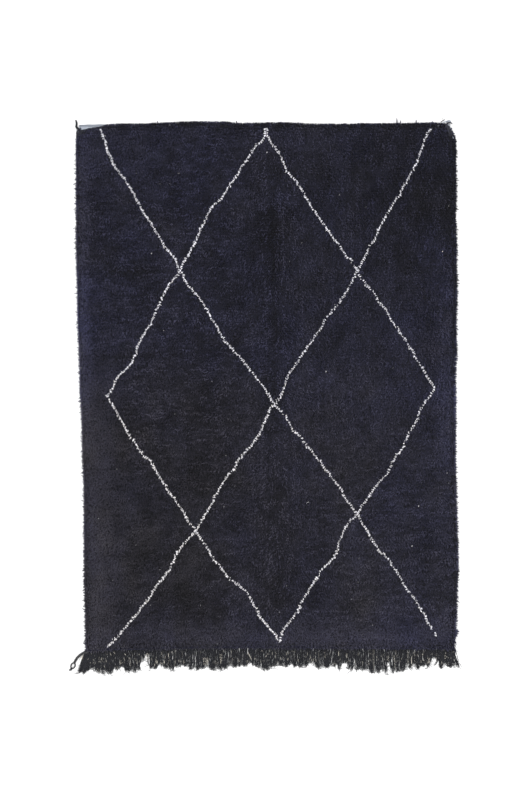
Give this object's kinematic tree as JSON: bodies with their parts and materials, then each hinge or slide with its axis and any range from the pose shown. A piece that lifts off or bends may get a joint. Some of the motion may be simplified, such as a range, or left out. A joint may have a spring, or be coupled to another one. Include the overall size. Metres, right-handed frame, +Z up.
{
  "type": "beni ourain rug",
  "caption": "Flat hand-knotted wool rug laid on the floor: a lumpy shag pile with locks at its rim, a dark yarn fringe at one end, a plaited corner tail and a corner tie.",
  "frame": {"origin": "centre of the rug's box on the floor plane, under the cloth", "axes": "+Z up out of the pile; +Y along the rug's length, from the fringed end to the plain end; +X across it"},
  "size_m": [1.7598, 2.5124, 0.0287],
  "materials": {
    "pile_wool": "matt navy-charcoal wool shag",
    "warp_yarn": "matt greenish-black crimped wool yarn",
    "ivory_wool": "matt undyed ivory wool knots",
    "ground_weave": "plain woven ivory-grey wool ground"
  },
  "bodies": {
    "root": {"pile_field": "pile_wool", "fringe": "warp_yarn", "corner_plait": "warp_yarn", "corner_tie": "warp_yarn"}
  },
  "joints": []
}
